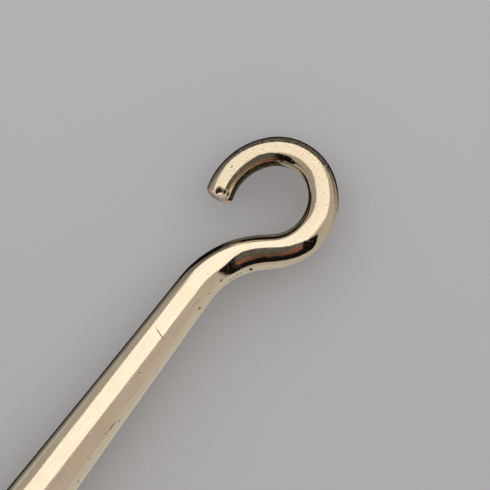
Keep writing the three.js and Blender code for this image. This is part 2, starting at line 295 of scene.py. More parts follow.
class Nodes:
    """Short calls for the nodes used here. In keyword names, _ stands for a space."""

    def __init__(self, owner):
        owner.use_nodes = True
        self.tree = owner.node_tree

    def first(self, kind):
        """The node of a kind that the tree came with."""
        return next(n for n in self.tree.nodes if n.type == kind)

    def node(self, kind, settings=None, **inputs):
        """A new node, with its settings made and its inputs set or linked."""
        made = self.tree.nodes.new("ShaderNode" + kind)
        for key, value in (settings or {}).items():
            setattr(made, key, value)
        for key, value in inputs.items():
            self.put(made.inputs[key.replace("_", " ")], value)
        return made

    def put(self, socket, value):
        """Links an output to a socket, or sets the socket's own value."""
        if isinstance(value, bpy.types.NodeSocket):
            self.tree.links.new(value, socket)
        else:
            socket.default_value = value

    def math(self, operation, *values, clamp=False):
        made = self.tree.nodes.new("ShaderNodeMath")
        made.operation = operation
        made.use_clamp = clamp
        for socket, value in zip(made.inputs, values):
            self.put(socket, value)
        return made.outputs[0]

    def times(self, a, b):
        return self.math("MULTIPLY", a, b)

    def line(self, value, slope, start):
        """Slope times value, plus start."""
        return self.math("MULTIPLY_ADD", value, slope, start)

    def rest(self, value):
        """What value leaves of 1."""
        return self.math("SUBTRACT", 1.0, value)

    def shifted(self, value, noise, width):
        """Value moved about by noise, over width in all."""
        return self.math("ADD", value, self.line(noise, width, -width / 2))

    def ramp(self, value, low, high, from_value=0.0, to_value=1.0):
        """Runs smoothly from from_value to to_value as value goes from low to high."""
        return self.node(
            "MapRange",
            {"interpolation_type": "SMOOTHSTEP"},
            Value=value,
            From_Min=low,
            From_Max=high,
            To_Min=from_value,
            To_Max=to_value,
        ).outputs["Result"]

    def mix(self, factor, a, b, blend="MIX"):
        made = self.tree.nodes.new("ShaderNodeMix")
        made.data_type = "RGBA"
        made.blend_type = blend
        for index, value in ((0, factor), (6, a), (7, b)):
            if isinstance(value, tuple) and len(value) == 3:
                value = (*value, 1.0)
            self.put(made.inputs[index], value)
        return made.outputs[2]

    def paint(self, colour, over, mask, strength):
        """A colour, covered by another as far as strength where mask is 1."""
        return self.mix(self.times(mask, strength), colour, over)

    def place(self, scale=(1, 1, 1), shift=(0, 0, 0), source=None):
        """Object coordinates in millimetres, or source, stretched by scale."""
        if source is None:
            source = self.node("TexCoord").outputs["Object"]
            scale = tuple(s / MM for s in scale)
        moved = self.node("Mapping", Vector=source, Location=shift, Scale=scale)
        return moved.outputs["Vector"]

    def noise(self, vector, scale=1.0, detail=4.0, roughness=0.55):
        made = self.node("TexNoise", Vector=vector, Scale=scale, Detail=detail, Roughness=roughness)
        return made.outputs["Fac"]

    def cells(self, vector, scale=1.0):
        """Distance to the nearest of scattered points."""
        return self.node("TexVoronoi", Vector=vector, Scale=scale).outputs["Distance"]

    def length(self, vector):
        return self.node("VectorMath", {"operation": "LENGTH"}, Vector=vector).outputs["Value"]

    def along(self, vector, direction):
        """How far a vector reaches in a fixed direction."""
        made = self.node("VectorMath", {"operation": "DOT_PRODUCT"}, Vector=vector)
        made.inputs[1].default_value = direction
        return made.outputs["Value"]

    def pair(self, x, y):
        """A place for a texture, from two numbers."""
        return self.node("CombineXYZ", X=x, Y=y).outputs[0]

    def attribute(self, name):
        return self.node("Attribute", {"attribute_name": name})


class Shader(Nodes):
    """A principled material. Values that are the same all over go on its own sockets here."""

    def __init__(self, name, **values):
        self.material = bpy.data.materials.new(name)
        super().__init__(self.material)
        self.surface = self.first("BSDF_PRINCIPLED")
        self.set(**values)

    def bumps(self, *layers):
        """Stacks bumps, each a (height, depth in millimetres) pair, and feeds the surface."""
        normal = None
        for height, depth in layers:
            made = self.node("Bump", Height=height, Distance=depth * MM)
            if normal is not None:
                self.put(made.inputs["Normal"], normal)
            normal = made.outputs["Normal"]
        self.put(self.surface.inputs["Normal"], normal)

    def blend(self, share, one, other):
        """A shader node that is one shader node, and another by share."""
        made = self.node("MixShader", Fac=share)
        self.put(made.inputs[1], one.outputs[0])
        self.put(made.inputs[2], other.outputs[0])
        return made

    def finish(self, shader):
        """Takes a shader node as the material's surface instead of the plain one."""
        self.put(self.first("OUTPUT_MATERIAL").inputs["Surface"], shader.outputs[0])

    def set(self, **inputs):
        """Sets or links inputs of the surface, and hands back the material."""
        for key, value in inputs.items():
            self.put(self.surface.inputs[key.replace("_", " ")], value)
        return self.material


NICKEL = (0.80, 0.705, 0.535)
NICKEL_WARM = (0.74, 0.62, 0.42)
NICKEL_DULL = (0.64, 0.56, 0.40)
NICKEL_PINK = (0.69, 0.56, 0.44)
NICKEL_GOLD = (0.52, 0.42, 0.22)
NICKEL_DOTS = (0.22, 0.17, 0.09)
CUT_END = (1.0, 0.84, 0.72)
CUT_END_DARK = (0.50, 0.36, 0.24)
# Tarnish colours, also used for the painted dark reflection inside the hook.
TARNISH_AND_SHADE = (0.030, 0.020, 0.012)
TARNISH_AND_SHADE_PALE = (0.20, 0.145, 0.085)


def bar_nickel():
    """Hand-polished nickel plate on the forged bar, tarnished where a cloth doesn't reach, with a
    painted dark reflection inside the hook.
    """
    s = Shader("bar_nickel", Metallic=1.0)
    bar = s.attribute("bar").outputs["Vector"]  # along, around, 0: millimetres
    stain_and_shade = s.attribute("stain_and_shade").outputs["Fac"]
    along = s.node("SeparateXYZ", Vector=bar).outputs["X"]
    here = s.place()
    mottle = s.noise(here, 1.1, 5.0, 0.7)
    patch = s.ramp(s.noise(here, 0.16, 3.0), 0.42, 0.62)
    in_hook = s.ramp(along, LOOP_START - 12, LOOP_START + 40)
    grain = s.noise(here, 2.6, 3.0, 0.6)
    gold = s.ramp(grain, 0.50, 0.66)
    gold = s.times(gold, s.line(in_hook, 0.75, 0.25))
    speckled = s.times(in_hook, s.ramp(s.noise(here, 0.4, 2.0), 0.38, 0.50))
    dots = s.times(s.ramp(s.cells(here, 1.25), 0.10, 0.19, 1.0, 0.0), speckled)
    polish = s.noise(s.place((0.12, 5.0, 1.0), source=bar), 1.0, 6.0, 0.75)
    streak = s.ramp(s.noise(s.place((0.08, 0.9, 1.0), source=bar), 1.0, 4.0, 0.6), 0.46, 0.72)
    wander = s.math("ABSOLUTE", s.math("SUBTRACT", s.noise(here, 0.42, 1.0), 0.5))
    here_and_there = s.ramp(s.noise(here, 0.3, 0.0), 0.52, 0.6)
    scratch = s.times(s.ramp(wander, 0.0, 0.004, 1.0, 0.0), here_and_there)
    # Tarnish in the marks, and inside the hook tarnish with a painted dark reflection.
    tarnish_and_painted_shade = s.ramp(s.shifted(stain_and_shade, mottle, 0.7), 0.22, 0.66)
    ragged_along = s.shifted(along, mottle, 1.6)
    cut_end = s.ramp(ragged_along, TIP + 0.2, TIP + 0.9)
    colour = s.paint(NICKEL, NICKEL_WARM, patch, 0.30)
    colour = s.paint(colour, NICKEL_DULL, in_hook, 0.80)
    colour = s.paint(colour, NICKEL_PINK, streak, 0.60)
    colour = s.paint(colour, NICKEL_GOLD, gold, 0.60)
    colour = s.paint(colour, NICKEL_DOTS, dots, 0.60)
    colour = s.mix(cut_end, colour, s.mix(s.ramp(mottle, 0.3, 0.5), CUT_END_DARK, CUT_END))
    # Darkens the marks with tarnish, and the inside of the hook with tarnish and a painted dark
    # reflection.
    colour = s.mix(tarnish_and_painted_shade, colour, s.mix(s.ramp(mottle, 0.45, 0.68), TARNISH_AND_SHADE, TARNISH_AND_SHADE_PALE))
    rough = s.line(polish, 0.07, 0.035)
    rough = s.line(gold, 0.10, rough)
    rough = s.line(cut_end, 0.40, rough)
    rough = s.line(scratch, 0.05, rough)
    rough = s.math("MULTIPLY_ADD", tarnish_and_painted_shade, 0.32, rough, clamp=True)
    s.bumps(
        (s.noise(here, 0.09, 1.0), 0.07),
        (s.noise(here, 0.9, 3.0), 0.005),
        (polish, 0.004),
        (s.times(in_hook, grain), 0.016),
        (s.rest(dots), 0.05),
        (s.rest(scratch), 0.005),
        (s.times(cut_end, mottle), 0.10),
        (s.times(tarnish_and_painted_shade, mottle), 0.08),
    )
    return s.set(Base_Color=colour, Roughness=rough)


def turned_nickel():
    """Nickel plate on the turned ferrule and the bolsters, with the last of the lathe's marks."""
    s = Shader("turned_nickel", Metallic=1.0)
    here = s.place()
    rings = s.noise(s.place((9.0, 0.15, 0.15)), 1.0, 3.0, 0.7)
    mottle = s.noise(here, 0.5, 5.0, 0.65)
    scratch = s.ramp(s.cells(s.place((0.25, 2.2, 2.2)), 1.0), 0.0, 0.05, 1.0, 0.0)
    colour = s.mix(s.ramp(mottle, 0.45, 0.72), NICKEL, (0.66, 0.57, 0.42))
    rough = s.line(mottle, 0.16, 0.06)
    rough = s.line(scratch, 0.12, rough)
    s.bumps((rings, 0.006), (scratch, 0.004), (s.noise(here, 0.2, 1.0), 0.025))
    return s.set(Base_Color=colour, Roughness=rough)


def spring_steel():
    """Rolled spring steel gone grey with use, rubbed bright in streaks, with smears of propolis."""
    s = Shader("spring_steel", Metallic=1.0)
    here = s.place()
    lines = s.noise(s.place((0.05, 7.0, 1.0)), 1.0, 6.0, 0.8)
    broad = s.noise(s.place((0.02, 0.8, 0.8)), 1.0, 3.0, 0.6)
    mottle = s.noise(here, 0.35, 6.0, 0.62)
    smear = s.ramp(s.noise(s.place((0.10, 0.26, 0.26)), 1.0, 5.0, 0.62), 0.58, 0.70)
    wander = s.noise(s.place((0.05, 0.22, 0.22)), 1.0, 1.0)
    wander = s.math("ABSOLUTE", s.math("SUBTRACT", wander, 0.5))
    scratch = s.times(s.ramp(wander, 0.0, 0.003, 1.0, 0.0), s.ramp(mottle, 0.45, 0.55))
    pits = s.ramp(s.cells(here, 0.9), 0.05, 0.12, 1.0, 0.0)
    colour = s.mix(broad, (0.24, 0.24, 0.24), (0.40, 0.395, 0.385))
    colour = s.mix(s.ramp(mottle, 0.50, 0.75), colour, (0.20, 0.18, 0.155))
    colour = s.paint(colour, (0.56, 0.555, 0.54), s.ramp(lines, 0.55, 0.75), 0.6)
    colour = s.paint(colour, (0.62, 0.61, 0.59), scratch, 0.35)
    colour = s.paint(colour, (0.20, 0.115, 0.050), smear, 0.55)
    colour = s.paint(colour, (0.06, 0.05, 0.045), pits, 0.6)
    rough = s.line(lines, 0.24, 0.20)
    rough = s.line(smear, 0.20, rough)
    s.bumps((lines, 0.014), (pits, -0.03), (scratch, -0.01), (s.times(smear, mottle), 0.05))
    return s.set(Base_Color=colour, Roughness=rough)


def ground_steel():
    """The freshly ground bevel, with grinding lines that run from its heel to its edge."""
    s = Shader("ground_steel", Metallic=1.0)
    lines = s.noise(s.place((0.4, 9.0, 1.0)), 1.0, 5.0, 0.85)
    chatter = s.noise(s.place((1.6, 0.25, 1.0)), 1.0, 2.0, 0.5)
    x = s.node("SeparateXYZ", Vector=s.place()).outputs["X"]
    worn = s.ramp(x, BLADE_EDGE_X, BLADE_EDGE_X + 2.5, 1.0, 0.0)
    stained = s.ramp(s.noise(s.place(), 0.45, 5.0, 0.65), 0.52, 0.66)
    colour = s.mix(s.ramp(lines, 0.35, 0.65), (0.42, 0.42, 0.415), (0.66, 0.655, 0.64))
    colour = s.paint(colour, (0.34, 0.29, 0.22), stained, 0.3)
    colour = s.paint(colour, (0.40, 0.37, 0.33), worn, 0.6)
    rough = s.line(lines, 0.22, 0.20)
    s.bumps((lines, 0.03), (chatter, 0.03))
    return s.set(Base_Color=colour, Roughness=rough)


def walnut(name, pith, seed):
    """Oiled walnut, sawn so that its growth rings run nearly along the handle."""
    s = Shader(name, Coat_Weight=0.35, Coat_Roughness=0.18, Specular_IOR_Level=0.4)
    here = s.place()
    drift = s.noise(s.place((0.018, 0.09, 0.09), (seed, 0, 0)), 1.0, 3.0, 0.5)
    y, z = pith
    axis = s.place((0.05, 1.0, 1.0), (0, -y, -z))
    flat = s.node("Mapping", Vector=axis, Scale=(0, 1, 1)).outputs["Vector"]
    wave = s.line(drift, 9.0, s.length(flat))
    ring = s.math("FRACT", s.times(wave, 0.42))
    late = s.ramp(ring, 0.35, 0.98)
    fibre = s.noise(s.place((0.06, 3.2, 3.2), (seed, 0, 0)), 1.0, 6.0, 0.7)
    streak = s.noise(s.place((0.012, 0.35, 0.35), (seed, 3, 0)), 1.0, 4.0, 0.6)
    pores = s.ramp(s.cells(s.place((0.16, 3.4, 3.4), (seed, 0, 0)), 1.0), 0.12, 0.24, 1.0, 0.0)
    pores = s.times(pores, s.ramp(ring, 0.0, 0.6, 1.0, 0.35))
    colour = s.mix(s.ramp(streak, 0.3, 0.7), (0.205, 0.094, 0.040), (0.100, 0.041, 0.018))
    colour = s.paint(colour, (0.042, 0.016, 0.008), late, 0.80)
    colour = s.paint(colour, (0.27, 0.130, 0.058), fibre, 0.34)
    colour = s.paint(colour, (0.022, 0.010, 0.006), pores, 0.75)
    rough = s.line(fibre, 0.25, 0.32)
    rough = s.line(pores, 0.2, rough)
    s.bumps((s.rest(pores), 0.05), (fibre, 0.03), (late, 0.02))
    return s.set(Base_Color=colour, Roughness=rough)


def brass():
    """Satin brass, faced on a lathe, dulled in patches."""
    s = Shader("brass", Metallic=1.0)
    here = s.place()
    centre = s.node("Mapping", Vector=here, Scale=(1, 1, 0)).outputs["Vector"]
    rings = s.math("SINE", s.times(s.length(centre), 34.0))
    mottle = s.noise(here, 0.9, 5.0, 0.65)
    colour = s.mix(s.ramp(mottle, 0.42, 0.7), (0.74, 0.54, 0.25), (0.42, 0.27, 0.12))
    rough = s.line(mottle, 0.3, 0.16)
    s.bumps((rings, 0.004), (mottle, 0.02))
    return s.set(Base_Color=colour, Roughness=rough)


def pin_steel():
    """Plain steel pins, filed flush across."""
    s = Shader("pin_steel", Metallic=1.0)
    lines = s.noise(s.place((6.0, 0.6, 1.0)), 1.0, 4.0, 0.8)
    colour = s.mix(lines, (0.42, 0.41, 0.39), (0.62, 0.61, 0.58))
    s.bumps((lines, 0.012))
    return s.set(Base_Color=colour, Roughness=s.line(lines, 0.2, 0.22))


# Hook bar ----


def bar_radius(along):
    """The bar's radius, less a hair, so that this finer bar stays inside the CAD bar's box."""
    share = np.clip((BAR_LENGTH - along) / BAR_LENGTH, 0.0, 1.0)
    return (TIP_DIAMETER + (ROOT_DIAMETER - TIP_DIAMETER) * share**TAPER_POWER) / 2 - BAR_HAIR


def bar_place(along):
    """Where the centreline is at a distance from the shoulder, and its heading."""
    x, y, heading = SHOULDER_X, 0.0, 0.0
    for length, turn in BAR_LEGS:
        part = min(along, length)
        bend = math.radians(turn) * part / length
        chord = part if not bend else 2 * part / bend * math.sin(bend / 2)
        x += chord * math.cos(heading + bend / 2)
        y += chord * math.sin(heading + bend / 2)
        heading += bend
        along -= part
        if along <= 0:
            break
    return x, y, heading


BAR_AROUND = np.linspace(0, math.tau, 160, endpoint=False)  # angles of a ring's points
BAR_CLOSEST_ROWS = 0.04
TIP_STEPS = 22

# Marks on the bar: distance along, angle round from the top towards -Y, length along and width
# round in millimetres, depth in millimetres, how dark the mark is, and how far along the bar it
# leans for each millimetre round.
BAR_MARKS = [
    (TIP - 0.1, 8, 0.75, 0.72, 0.60, 1.0, 0.0),
    (TIP + 0.5, 14, 0.60, 0.50, 0.40, 1.0, 0.0),
    (TIP - 0.2, -4, 0.55, 0.60, 0.25, 0.85, 0.0),
    (TIP - 0.2, -19, 0.55, 0.42, 0.40, 1.0, 0.0),
    (TIP + 0.2, -34, 0.45, 0.32, 0.20, 0.8, 0.0),
    (TIP - 7.3, 17, 0.45, 0.18, 0.08, 0.8, 0.0),
    (LOOP_START - 7.7, 60, 0.52, 0.80, 0.40, 1.0, 0.25),
    (LOOP_START - 9.2, 60, 0.30, 0.20, 0.10, 0.8, 0.0),
    (LOOP_START - 11.3, 58, 0.40, 0.20, 0.10, 0.8, 0.0),
    (LOOP_START - 12.6, 62, 0.70, 0.18, 0.12, 0.9, 0.0),
    (LOOP_START - 14.2, 66, 0.55, 0.18, 0.12, 0.8, 0.0),
    (LOOP_START - 15.6, 66, 0.70, 0.18, 0.12, 0.9, 0.0),
    (89.1, 51, 0.45, 0.30, 0.22, 1.0, 0.0),
    (94.3, 47, 0.35, 0.24, 0.14, 0.8, 0.0),
    (100.2, 42, 0.35, 0.24, 0.14, 0.8, 0.0),
    (98.2, -4, 0.14, 0.80, 0.014, 0.5, -0.11),
    (76.9, -3, 0.14, 2.40, 0.020, 0.8, -0.32),
    (83.6, -4, 0.12, 0.70, 0.012, 0.45, 1.40),
    (64.8, 19, 0.30, 0.25, 0.12, 0.7, 0.0),
    (50.6, 54, 0.55, 0.22, 0.14, 0.8, 0.0),
    (48.3, 45, 1.70, 0.20, 0.12, 0.9, 0.0),
    (45.7, 42, 0.30, 0.24, 0.12, 0.8, 0.0),
    (37.4, 47, 0.30, 0.24, 0.12, 0.7, 0.0),
    (30.2, 64, 0.50, 0.26, 0.14, 0.8, 0.0),
]


def mark_reach(mark, along, turn):
    """How far a place on the bar is from a mark's middle, as 1 at the mark's edge."""
    at, angle, length, width, _, _, lean = mark
    around = np.radians((turn - angle + 180) % 360 - 180) * bar_radius(along)
    return np.hypot((along - at - lean * around) / length, around / width)


def bar_rows():
    """Rows of the bar's mesh: distance along, how far beyond that, and share of the radius.

    They are closer in the bends and at marks. The end is nearly flat, square on the inside of the
    hook and well rounded on the outside, which is what fullness says for each angle round.
    """
    straight_step, bend_step = 0.8, 0.3
    bend_start = BAR_LEGS[0][0] - 4  # close rows begin a little before the first bend
    straight = set(np.linspace(0, bend_start, round(bend_start / straight_step), endpoint=False))
    for at, _, length, width, _, _, lean in BAR_MARKS:
        reach = 5 * length / 3 + abs(lean) * width
        if at < bend_start - 2:
            straight |= set(np.arange(at - reach, at + reach, length / 3))
    bent = np.linspace(bend_start, BAR_LENGTH, round((BAR_LENGTH - bend_start) / bend_step))
    kept = []
    for along in (*sorted(straight), *bent):
        if along >= 0 and (not kept or along - kept[-1] > BAR_CLOSEST_ROWS):
            kept.append(along)
    rows = [(along, 0.0, 1.0) for along in kept]
    fullness = 0.72 + 0.48 * np.sin(BAR_AROUND)
    for k in range(1, TIP_STEPS):
        angle = (math.pi / 2) * k / TIP_STEPS
        rows.append((BAR_LENGTH, TIP_LENGTH * math.sin(angle), math.cos(angle) ** fullness))
    return rows


def bar_ring(along, forward, share):
    """One ring of points round the bar, with the marks cut in."""
    x, y, heading = bar_place(along)
    depth = np.zeros(len(BAR_AROUND))
    for mark in BAR_MARKS:
        depth += mark[4] * np.exp(-(mark_reach(mark, along + forward, np.degrees(BAR_AROUND)) ** 3))
    radius = bar_radius(along) * share - depth
    ahead = np.array((math.cos(heading), math.sin(heading), 0.0))
    side = np.array((math.sin(heading), -math.cos(heading), 0.0))
    up = np.array((0.0, 0.0, 1.0))
    centre = np.array((x, y, 0.0)) + ahead * forward
    across, aside = radius * np.cos(BAR_AROUND), radius * np.sin(BAR_AROUND)
    ring = centre + np.outer(across, up) + np.outer(aside, side)
    return [tuple(p) for p in ring]


def hook_bar():
    """The forged bar with its flat tang. Its points know where they are on it and how dark, from
    tarnish and painted shade.
    """
    rows = bar_rows()
    made = skin("bar", [bar_ring(*row) for row in rows])
    where, dark = [], []
    for along, forward, _ in rows:
        distance = along + forward
        for angle in BAR_AROUND:
            turn = (math.degrees(angle) + 180) % 360 - 180
            where.append((distance, math.radians(turn) * bar_radius(distance), 0.0))
            dark.append(stain_and_shade_at(distance, turn))
    where += [(0, 0, 0), (BAR_LENGTH, 0, 0)]
    dark += [0, 0.2]
    attributes = made.data.attributes
    attributes.new("bar", "FLOAT_VECTOR", "POINT")
    attributes["bar"].data.foreach_set("vector", np.array(where, np.float32).ravel())
    attributes.new("stain_and_shade", "FLOAT", "POINT")
    attributes["stain_and_shade"].data.foreach_set("value", np.array(dark, np.float32))

    tang_low = PLATE_FACE + GAP
    tang_high = tang_low + TANG["thickness"]
    tang = block((TANG["rear"], SHOULDER_X + 1), (-TANG["half"], TANG["half"]), (tang_low, tang_high))
    holes = [cylinder(x, 0, NUT_BARREL + GAP, -FAR, FAR) for x in SCREW_X.values()]
    holes.append(cylinder(FERRULE_PIN_X, 0, FERRULE_PIN_RADIUS + GAP, -FAR, FAR))
    carve(tang, holes)
    join(made, tang)
    into_frame(made.data)
    stand_for(made, "hook_bar", bar_nickel(), smooth_angle=50)


TARNISH_AND_SHADE_FADE = 5.0  # degrees over which the tarnish and painted dark reflection in the hook fade out
FERRULE_LINE = 5.8  # distance along at which the bar leaves the ferrule

# Tarnish and a painted dark reflection on the inside of the hook: distance along, then the angles
# between which it lies.
INNER_TARNISH_AND_SHADE = [
    (LOOP_START + 37.0, -104, -84),
    (LOOP_START + 41.0, -108, -62),
    (LOOP_START + 43.5, -112, -42),
    (LOOP_START + 50.0, -116, -38),
    (LOOP_START + 58.0, -118, -40),
    (TIP + 1.4, -118, -48),
]


def stain_and_shade_at(along, turn):
    """How dark the bar is, from 0 to 1: tarnish with a painted dark reflection inside the hook,
    tarnish in the marks, and round the ferrule.
    """
    places = [row[0] for row in INNER_TARNISH_AND_SHADE]
    low = np.interp(along, places, [row[1] for row in INNER_TARNISH_AND_SHADE])
    high = np.interp(along, places, [row[2] for row in INNER_TARNISH_AND_SHADE])
    # It comes in gradually along the bar, and stops sharply at the cut end.
    inside = min(turn - low, high - turn, 6 * (along - places[0]), 30 * (places[-1] - along))
    total = 0.95 * float(np.clip(inside / TARNISH_AND_SHADE_FADE + 0.5, 0, 1))
    for mark in BAR_MARKS:
        total = max(total, mark[5] * math.exp(-0.8 * mark_reach(mark, along, turn) ** 3))
    at_ferrule = 0.7 * math.exp(-(((along - FERRULE_LINE) / 0.9) ** 2))
    return max(total, at_ferrule)


def join(obj, other):
    """Adds another mesh to obj's."""
    with editing(obj.data) as bm:
        bm.from_mesh(other.data)
    bpy.data.objects.remove(other)


# Handle ----


def swell_at(x):
    """The palm swell, from 0 at the handle's ends to 1 at its middle."""
    return math.sin(math.pi * (HANDLE_FRONT - x) / (HANDLE_FRONT - HANDLE_REAR))


def handle_half_width(x):
    return END_HALF_WIDTH + PALM_SWELL * swell_at(x)


def half_section(x, half_width, half_thickness, corner, side, ease=0.2, steps=22):
    """Half of a rounded rectangle across the tool, from just off the plate up (1) or down (-1)."""
    parting = PLATE_FACE + GAP
    middle = half_thickness - corner
    start = math.asin(max(0.0, parting - middle) / corner)
    edge = half_width if parting <= middle else half_width - corner + corner * math.cos(start)
    quarter = [(edge - ease, parting), (edge, parting + ease)]
    low = math.asin(min(1.0, max(0.0, parting + 2 * ease - middle) / corner))
    for angle in np.linspace(low, math.pi / 2, steps + 1):
        y = half_width - corner + corner * math.cos(angle)
        quarter.append((y, middle + corner * math.sin(angle)))
    whole = quarter + [(-y, z) for y, z in reversed(quarter)]
    return [(x, y, side * z) for y, z in whole]


def scale_half(node, side, material):
    """One half of the handle, above (1) or below (-1) the plate, with its half of the tenon."""
    ease = 0.2

    def full(x, shrink=0.0):
        corner = END_CORNER - CORNER_SHARPENING * swell_at(x) - shrink
        half_width = handle_half_width(x) - shrink
        return half_section(x, half_width, HALF_THICKNESS - shrink, corner, side)

    rings = [full(HANDLE_REAR, ease)]
    rings += [full(x) for x in np.linspace(HANDLE_REAR + ease, HANDLE_FRONT - ease, 61)]
    rings.append(full(HANDLE_FRONT, ease))
    for x in (HANDLE_FRONT + 0.01, TENON_FRONT):
        rings.append(half_section(x, TENON_RADIUS, TENON_RADIUS, TENON_RADIUS - 0.01, side))
    made = outward(skin(node, rings))
    cutters = [cylinder(FERRULE_PIN_X, 0, FERRULE_PIN_RADIUS + GAP, -FAR, FAR)]
    top = HALF_THICKNESS
    seat = top - SCREW_HEAD_HEIGHT - (SCREW_RECESS if side > 0 else NUT_RECESS) - GAP
    barrel, shank, head = NUT_BARREL + GAP, SCREW_SHANK + GAP, SCREW_HEAD + GAP
    profile = [(0, 0), (barrel, 0)]
    if side > 0:
        profile += [(barrel, NUT_TOP + GAP), (shank, NUT_TOP + GAP), (shank, seat)]
    else:
        profile += [(barrel, seat)]
    profile += [(head, seat), (head, top - COUNTERSINK)]
    profile += [(head + 0.6, top + 0.6 - COUNTERSINK), (0, top + 0.6 - COUNTERSINK)]
    for x in SCREW_X.values():
        bore = spun("cutter", profile)
        if side < 0:
            bore.data.transform(Matrix.Rotation(math.pi, 4, "X"))
        bore.data.transform(Matrix.Translation((x, 0, 0)))
        cutters.append(bore)
    if side > 0:
        half = TANG["half"] + GAP
        groove = (0, PLATE_FACE + 2 * GAP + TANG["thickness"])
        cutters.append(block((TANG["rear"] - GAP, FAR), (-half, half), groove))
    carve(made, cutters)
    into_frame(made.data)
    stand_for(made, node, material, smooth_angle=35)


BOLSTER_REAR, BOLSTER_FRONT = box_mm("upper_bolster")[0].x, HANDLE_REAR - GAP


def bolster_size(share):
    """Half-thickness and corner radius, from the front of the bolster (0) to its rear (1)."""
    fall = 1 - math.cos(math.pi / 2 * share)
    thickness = HALF_THICKNESS + (BOLSTER_REAR_HALF - HALF_THICKNESS) * fall
    return thickness, END_CORNER + (BOLSTER_REAR_CORNER - END_CORNER) * share**0.6


def bolster_top(x, y):
    """Height of the bolster's skin above the middle plane."""
    thickness, corner = bolster_size((BOLSTER_FRONT - x) / (BOLSTER_FRONT - BOLSTER_REAR))
    beyond = max(0.0, abs(y) - (plate_half_width(x) - corner))
    return thickness - corner + math.sqrt(corner**2 - beyond**2)


def bolster(node, side, material):
    """A bolster above (1) or below (-1) the plate, with its two pin holes."""
    rear, front = BOLSTER_REAR, BOLSTER_FRONT
    front_ease, rear_ease = 0.15, 0.3

    def at(share, shrink=0.0):
        x = front + (rear - front) * share
        thickness, corner = bolster_size(share)
        half_width = plate_half_width(x) - shrink
        return half_section(x, half_width, thickness - shrink, corner - shrink, side, front_ease)

    shares = np.linspace(0.015, 1 - rear_ease / (front - rear), 29)
    rings = [at(0.0, front_ease), *(at(share) for share in shares), at(1.0, rear_ease)]
    made = outward(skin(node, rings))
    hole = BOLSTER_PIN_RADIUS + PIN_FIT
    carve(made, [cylinder(BOLSTER_PIN_X, y, hole, -FAR, FAR) for y in (-BOLSTER_PIN_Y, BOLSTER_PIN_Y)])
    into_frame(made.data)
    stand_for(made, node, material, smooth_angle=30)


# Scraper plate ----


def smoothstep(t):
    return t * t * (3 - 2 * t)


def plate_half_width(x):
    """Half the plate's width: under the ferrule, in the handle, in the neck, then the blade."""
    if x > HANDLE_FRONT - GAP:
        return PLATE_TENON_HALF
    if x > HANDLE_REAR:
        return handle_half_width(x)
    if x > NECK_X:
        share = (HANDLE_REAR - x) / (HANDLE_REAR - NECK_X)
        return END_HALF_WIDTH + (NECK_HALF - END_HALF_WIDTH) * smoothstep(share)
    share = min(1.0, (NECK_X - x) / FLARE_LENGTH)
    return NECK_HALF + (BLADE_HALF - NECK_HALF) * smoothstep(share)


def plate_outline():
    """The plate's outline in plan, round both of its sides."""
    side = [(PLATE_FRONT, PLATE_TENON_HALF), (HANDLE_FRONT, PLATE_TENON_HALF)]
    for start, end, steps in (
        (HANDLE_FRONT - 2 * GAP, HANDLE_REAR, 60),
        (HANDLE_REAR - 0.5, NECK_X, 16),
        (NECK_X - 0.5, NECK_X - FLARE_LENGTH, 40),
        (NECK_X - FLARE_LENGTH - 4, BLADE_EDGE_X + BLADE_CORNER + 1, 6),
    ):
        side += [(x, plate_half_width(x)) for x in np.linspace(start, end, steps + 1)]
    for angle in np.linspace(0, math.pi / 2, 9):
        x = BLADE_EDGE_X + BLADE_CORNER * (1 - math.sin(angle))
        side.append((x, BLADE_HALF - BLADE_CORNER * (1 - math.cos(angle))))
    return side + [(x, -y) for x, y in reversed(side)]


def nail_slot():
    """The keyhole that draws nails: a large and a small arc, joined by their tangents."""
    x, radius = NAIL_SLOT["x"], NAIL_SLOT["radius"]
    tip_x, tip_radius = NAIL_SLOT["tip_x"], NAIL_SLOT["tip_radius"]
    lean = math.acos((radius - tip_radius) / (tip_x - x))
    points = []
    for centre, r, start, end, steps in (
        (x, radius, lean, math.tau - lean, 56),
        (tip_x, tip_radius, -lean, lean, 20),
    ):
        for angle in np.linspace(start, end, steps + 1):
            points.append((centre + r * math.cos(angle), r * math.sin(angle)))
    return points


def offset(loop, distance):
    """A closed loop moved towards its left by distance."""
    points = np.array(loop)
    ahead = np.roll(points, -1, 0) - points
    ahead /= np.linalg.norm(ahead, axis=1)[:, None]
    left = np.stack((-ahead[:, 1], ahead[:, 0]), 1)
    both = left + np.roll(left, 1, 0)
    size = np.linalg.norm(both, axis=1)[:, None]
    return points + both / size * np.minimum(2 / size, 1.6) * distance


def area_of(loop):
    """A closed loop's area, positive where it runs anticlockwise."""
    points = np.array(loop)
    after = np.roll(points, -1, 0)
    return 0.5 * float(np.sum(points[:, 0] * after[:, 1] - points[:, 1] * after[:, 0]))


def rounded_plate(name, outline, holes, low, high, edge):
    """A flat plate whose edges, outside and in the holes, are rounded by edge."""
    profile = []
    for angle in np.linspace(0, math.pi / 2, 5):
        profile.append((edge * (1 - math.cos(angle)), edge * (1 - math.sin(angle))))
    levels = [(inset, low + drop) for inset, drop in reversed(profile)]
    levels += [(inset, high - drop) for inset, drop in profile]
    made = make_object(name, [], [])
    with editing(made.data) as bm:
        fill_plate(bm, levels, [outline, *holes])
    return made


